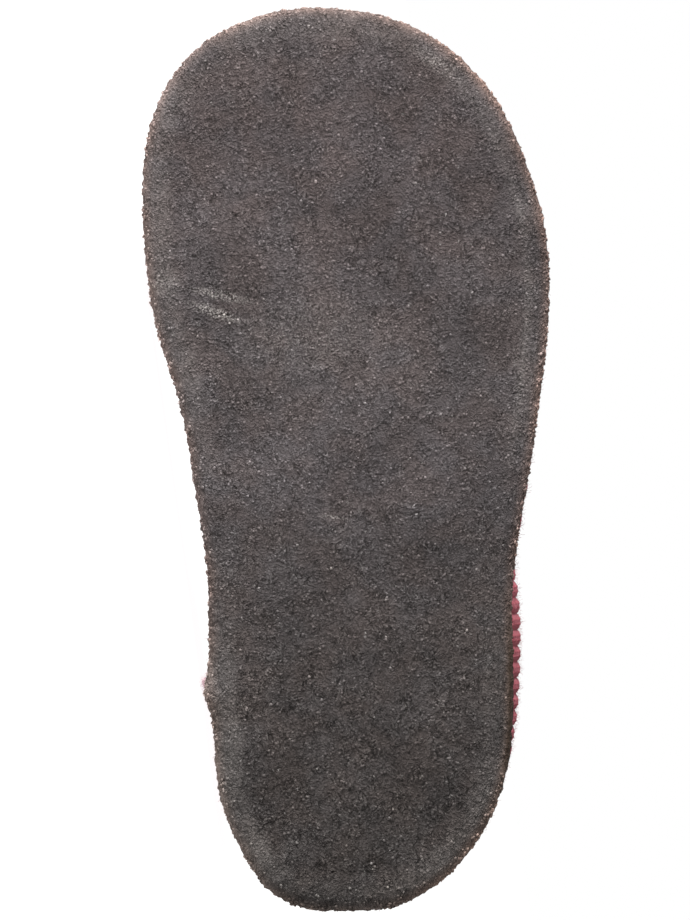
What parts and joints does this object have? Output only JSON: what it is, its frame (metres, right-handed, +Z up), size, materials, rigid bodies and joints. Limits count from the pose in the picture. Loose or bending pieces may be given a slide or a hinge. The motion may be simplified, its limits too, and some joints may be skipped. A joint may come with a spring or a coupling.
{
  "type": "slipper",
  "caption": "Toddler's soft ankle slipper for the left foot, lying on its side: suede sole with a rolled edge, hollow felted upper, knitted rib cuff, felt insole.",
  "frame": {"origin": "bottom centre of the bounding box, on the floor that the slipper lies on", "axes": "+X from the toe to the heel, +Y from the underside of the sole to the ankle opening, +Z up from the medial side, which it lies on, to the lateral side"},
  "size_m": [0.1458, 0.0634, 0.0646],
  "materials": {
    "outsole": "napped split suede, dull",
    "insole": "pressed felt",
    "upper": "boiled wool",
    "cuff": "knitted rib"
  },
  "bodies": {
    "root": {"outsole": "outsole", "insole": "insole", "upper": "upper", "cuff": "cuff"}
  },
  "joints": []
}
